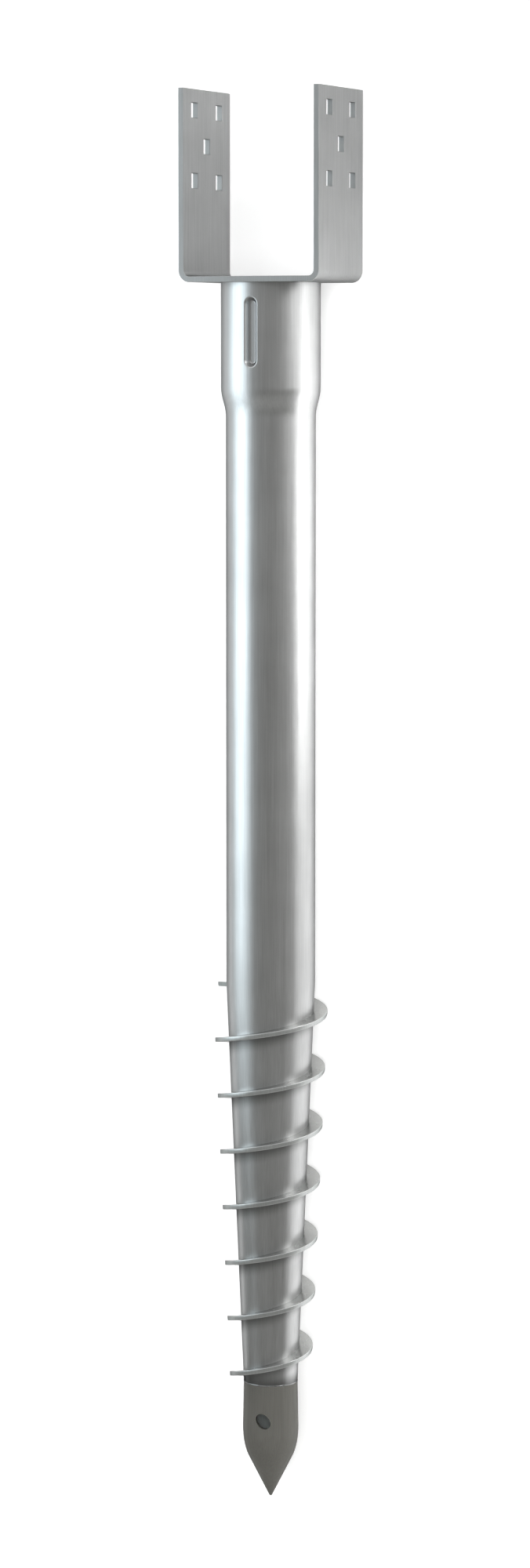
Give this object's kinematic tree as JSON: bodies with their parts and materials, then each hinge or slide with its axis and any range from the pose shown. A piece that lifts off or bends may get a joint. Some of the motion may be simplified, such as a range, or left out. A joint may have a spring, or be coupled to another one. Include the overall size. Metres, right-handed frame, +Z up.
{
  "type": "helical pile",
  "caption": "Steel ground screw: U-shaped post fork with square holes, swaged tube with pressed pockets, helical flight on a long cone and hollow pointed tip.",
  "frame": {"origin": "centre of the post seat's upper face, on the pile's axis, where the vent hole opens into the fork", "axes": "+X along the pile's axis from the tip towards the open end of the fork, +Z up as the pile lies on the ground, with the front pocket and the drain hole facing up, and the fork's ears at -Y and +Y"},
  "size_m": [1.2336, 0.131, 0.0994],
  "materials": {
    "galvanised_plate": "satin zinc with a fine grain along the pile",
    "galvanised_tube": "satin zinc with a fine grain along the pile",
    "galvanised_strip": "satin zinc",
    "galvanised_tip": "duller satin zinc",
    "dressed_weld": "ground bright"
  },
  "bodies": {
    "root": {"u_bracket": "galvanised_plate", "pile_tube": "galvanised_tube", "helix_flight": "galvanised_strip", "drive_tip": "galvanised_tip", "tip_weld": "dressed_weld"}
  },
  "joints": []
}
